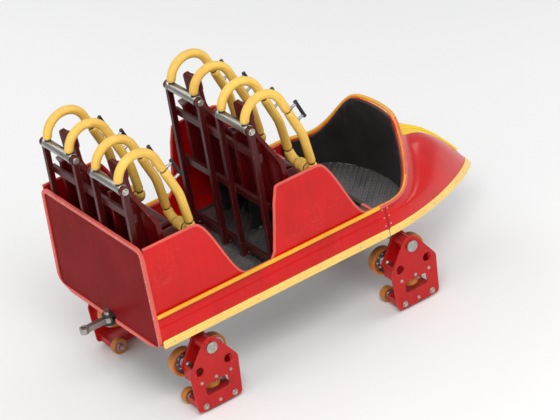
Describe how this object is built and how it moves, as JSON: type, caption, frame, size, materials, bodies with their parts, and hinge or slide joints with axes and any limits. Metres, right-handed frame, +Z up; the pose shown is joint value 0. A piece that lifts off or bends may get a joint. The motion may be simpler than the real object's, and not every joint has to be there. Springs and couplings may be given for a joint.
{
  "type": "roller coaster car",
  "caption": "Lead car of a looping coaster train with a pointed drooping nose, rows of bucket seats, over-shoulder restraints and wheel carriers that wrap a tube rail.",
  "frame": {"origin": "centre of the car's bounding box at floor level, where the upstop wheels touch the floor", "axes": "+X forward to the nose tip, +Y to the car's left, +Z up"},
  "size_m": [3.248, 1.324, 1.9499],
  "materials": {
    "red_gelcoat": "glossy gelcoat",
    "dark_red_gelcoat": "glossy gelcoat",
    "yellow_gelcoat": "glossy gelcoat",
    "orange_trim": "satin trim",
    "pale_trim": "satin trim",
    "black_liner": "textured liner",
    "maroon_seat": "moulded vinyl skin",
    "yellow_padding": "foam padding with a skin",
    "red_frame": "gloss paint",
    "red_tube": "powder coat",
    "chassis_steel": "semi-gloss paint",
    "floor_plate": "tread plate",
    "machined_steel": "machined, oiled",
    "wheel_tread": "polyurethane tread on an aluminium hub"
  },
  "bodies": {
    "car_body": {"chassis_beam_left": "chassis_steel", "chassis_beam_right": "chassis_steel", "cross_members": "chassis_steel", "tow_arm": "chassis_steel", "coupling_clevis": "chassis_steel", "dog_bracket": "chassis_steel", "seat_frame_front": "chassis_steel", "seat_frame_rear": "chassis_steel", "floor_pan": "floor_plate", "foot_well": "black_liner", "nose_shell": "red_gelcoat", "nose_ridge": "yellow_gelcoat", "side_left": "red_gelcoat", "side_right": "red_gelcoat", "rear_panel": "dark_red_gelcoat", "rim_coaming": "orange_trim", "sill_band": "pale_trim", "axle_front": "machined_steel", "axle_rear": "machined_steel", "grab_bar": "red_tube", "seat_front_left": "maroon_seat", "seat_front_right": "maroon_seat", "seat_rear_left": "maroon_seat", "seat_rear_right": "maroon_seat"},
    "drawbar": {"drawbar": "machined_steel"},
    "chain_dog": {"chain_dog": "machined_steel"},
    "restraint_front_left": {"restraint_front_left": "yellow_padding"},
    "restraint_front_right": {"restraint_front_right": "yellow_padding"},
    "restraint_rear_left": {"restraint_rear_left": "yellow_padding"},
    "restraint_rear_right": {"restraint_rear_right": "yellow_padding"},
    "carrier_front_left": {"carrier_front_left": "red_frame"},
    "run_wheel_front_left_a": {"run_wheel_front_left_a": "wheel_tread"},
    "upstop_front_left_a": {"upstop_front_left_a": "wheel_tread"},
    "run_wheel_front_left_b": {"run_wheel_front_left_b": "wheel_tread"},
    "upstop_front_left_b": {"upstop_front_left_b": "wheel_tread"},
    "guide_front_left": {"guide_front_left": "wheel_tread"},
    "carrier_front_right": {"carrier_front_right": "red_frame"},
    "run_wheel_front_right_a": {"run_wheel_front_right_a": "wheel_tread"},
    "upstop_front_right_a": {"upstop_front_right_a": "wheel_tread"},
    "run_wheel_front_right_b": {"run_wheel_front_right_b": "wheel_tread"},
    "upstop_front_right_b": {"upstop_front_right_b": "wheel_tread"},
    "guide_front_right": {"guide_front_right": "wheel_tread"},
    "carrier_rear_left": {"carrier_rear_left": "red_frame"},
    "run_wheel_rear_left_a": {"run_wheel_rear_left_a": "wheel_tread"},
    "upstop_rear_left_a": {"upstop_rear_left_a": "wheel_tread"},
    "run_wheel_rear_left_b": {"run_wheel_rear_left_b": "wheel_tread"},
    "upstop_rear_left_b": {"upstop_rear_left_b": "wheel_tread"},
    "guide_rear_left": {"guide_rear_left": "wheel_tread"},
    "carrier_rear_right": {"carrier_rear_right": "red_frame"},
    "run_wheel_rear_right_a": {"run_wheel_rear_right_a": "wheel_tread"},
    "upstop_rear_right_a": {"upstop_rear_right_a": "wheel_tread"},
    "run_wheel_rear_right_b": {"run_wheel_rear_right_b": "wheel_tread"},
    "upstop_rear_right_b": {"upstop_rear_right_b": "wheel_tread"},
    "guide_rear_right": {"guide_rear_right": "wheel_tread"}
  },
  "joints": [
    {"name": "drawbar_swing", "type": "hinge", "parent": "car_body", "child": "drawbar", "pos_m": [-1.404, 0, 0.5917], "axis": [0, 0, 1], "range_deg": [-20, 20]},
    {"name": "chain_dog_hinge", "type": "hinge", "parent": "car_body", "child": "chain_dog", "pos_m": [-0.12, 0, 0.5067], "axis": [0, 1, 0], "range_deg": [0, 30]},
    {"name": "restraint_front_left_hinge", "type": "hinge", "parent": "car_body", "child": "restraint_front_left", "pos_m": [-0.369, 0.3, 1.74], "axis": [0, -1, 0], "range_deg": [0, 78]},
    {"name": "restraint_front_right_hinge", "type": "hinge", "parent": "car_body", "child": "restraint_front_right", "pos_m": [-0.369, -0.3, 1.74], "axis": [0, -1, 0], "range_deg": [0, 78]},
    {"name": "restraint_rear_left_hinge", "type": "hinge", "parent": "car_body", "child": "restraint_rear_left", "pos_m": [-1.3517, 0.3, 1.74], "axis": [0, -1, 0], "range_deg": [0, 78]},
    {"name": "restraint_rear_right_hinge", "type": "hinge", "parent": "car_body", "child": "restraint_rear_right", "pos_m": [-1.3517, -0.3, 1.74], "axis": [0, -1, 0], "range_deg": [0, 78]},
    {"name": "carrier_front_left_pitch", "type": "hinge", "parent": "car_body", "child": "carrier_front_left", "pos_m": [0.616, 0.557, 0.47], "axis": [0, 1, 0], "range_deg": [-8, 8]},
    {"name": "run_wheel_front_left_a_spin", "type": "hinge", "parent": "carrier_front_left", "child": "run_wheel_front_left_a", "pos_m": [0.731, 0.44, 0.324], "axis": [0, 1, 0], "continuous": true},
    {"name": "upstop_front_left_a_spin", "type": "hinge", "parent": "carrier_front_left", "child": "upstop_front_left_a", "pos_m": [0.731, 0.44, 0.055], "axis": [0, 1, 0], "continuous": true},
    {"name": "run_wheel_front_left_b_spin", "type": "hinge", "parent": "carrier_front_left", "child": "run_wheel_front_left_b", "pos_m": [0.501, 0.44, 0.324], "axis": [0, 1, 0], "continuous": true},
    {"name": "upstop_front_left_b_spin", "type": "hinge", "parent": "carrier_front_left", "child": "upstop_front_left_b", "pos_m": [0.501, 0.44, 0.055], "axis": [0, 1, 0], "continuous": true},
    {"name": "guide_front_left_spin", "type": "hinge", "parent": "carrier_front_left", "child": "guide_front_left", "pos_m": [0.616, 0.557, 0.167], "axis": [0, 0, 1], "continuous": true},
    {"name": "carrier_front_right_pitch", "type": "hinge", "parent": "car_body", "child": "carrier_front_right", "pos_m": [0.616, -0.557, 0.47], "axis": [0, 1, 0], "range_deg": [-8, 8]},
    {"name": "run_wheel_front_right_a_spin", "type": "hinge", "parent": "carrier_front_right", "child": "run_wheel_front_right_a", "pos_m": [0.731, -0.44, 0.324], "axis": [0, 1, 0], "continuous": true},
    {"name": "upstop_front_right_a_spin", "type": "hinge", "parent": "carrier_front_right", "child": "upstop_front_right_a", "pos_m": [0.731, -0.44, 0.055], "axis": [0, 1, 0], "continuous": true},
    {"name": "run_wheel_front_right_b_spin", "type": "hinge", "parent": "carrier_front_right", "child": "run_wheel_front_right_b", "pos_m": [0.501, -0.44, 0.324], "axis": [0, 1, 0], "continuous": true},
    {"name": "upstop_front_right_b_spin", "type": "hinge", "parent": "carrier_front_right", "child": "upstop_front_right_b", "pos_m": [0.501, -0.44, 0.055], "axis": [0, 1, 0], "continuous": true},
    {"name": "guide_front_right_spin", "type": "hinge", "parent": "carrier_front_right", "child": "guide_front_right", "pos_m": [0.616, -0.557, 0.167], "axis": [0, 0, 1], "continuous": true},
    {"name": "carrier_rear_left_pitch", "type": "hinge", "parent": "car_body", "child": "carrier_rear_left", "pos_m": [-1.034, 0.557, 0.47], "axis": [0, 1, 0], "range_deg": [-8, 8]},
    {"name": "run_wheel_rear_left_a_spin", "type": "hinge", "parent": "carrier_rear_left", "child": "run_wheel_rear_left_a", "pos_m": [-0.919, 0.44, 0.324], "axis": [0, 1, 0], "continuous": true},
    {"name": "upstop_rear_left_a_spin", "type": "hinge", "parent": "carrier_rear_left", "child": "upstop_rear_left_a", "pos_m": [-0.919, 0.44, 0.055], "axis": [0, 1, 0], "continuous": true},
    {"name": "run_wheel_rear_left_b_spin", "type": "hinge", "parent": "carrier_rear_left", "child": "run_wheel_rear_left_b", "pos_m": [-1.149, 0.44, 0.324], "axis": [0, 1, 0], "continuous": true},
    {"name": "upstop_rear_left_b_spin", "type": "hinge", "parent": "carrier_rear_left", "child": "upstop_rear_left_b", "pos_m": [-1.149, 0.44, 0.055], "axis": [0, 1, 0], "continuous": true},
    {"name": "guide_rear_left_spin", "type": "hinge", "parent": "carrier_rear_left", "child": "guide_rear_left", "pos_m": [-1.034, 0.557, 0.167], "axis": [0, 0, 1], "continuous": true},
    {"name": "carrier_rear_right_pitch", "type": "hinge", "parent": "car_body", "child": "carrier_rear_right", "pos_m": [-1.034, -0.557, 0.47], "axis": [0, 1, 0], "range_deg": [-8, 8]},
    {"name": "run_wheel_rear_right_a_spin", "type": "hinge", "parent": "carrier_rear_right", "child": "run_wheel_rear_right_a", "pos_m": [-0.919, -0.44, 0.324], "axis": [0, 1, 0], "continuous": true},
    {"name": "upstop_rear_right_a_spin", "type": "hinge", "parent": "carrier_rear_right", "child": "upstop_rear_right_a", "pos_m": [-0.919, -0.44, 0.055], "axis": [0, 1, 0], "continuous": true},
    {"name": "run_wheel_rear_right_b_spin", "type": "hinge", "parent": "carrier_rear_right", "child": "run_wheel_rear_right_b", "pos_m": [-1.149, -0.44, 0.324], "axis": [0, 1, 0], "continuous": true},
    {"name": "upstop_rear_right_b_spin", "type": "hinge", "parent": "carrier_rear_right", "child": "upstop_rear_right_b", "pos_m": [-1.149, -0.44, 0.055], "axis": [0, 1, 0], "continuous": true},
    {"name": "guide_rear_right_spin", "type": "hinge", "parent": "carrier_rear_right", "child": "guide_rear_right", "pos_m": [-1.034, -0.557, 0.167], "axis": [0, 0, 1], "continuous": true}
  ]
}
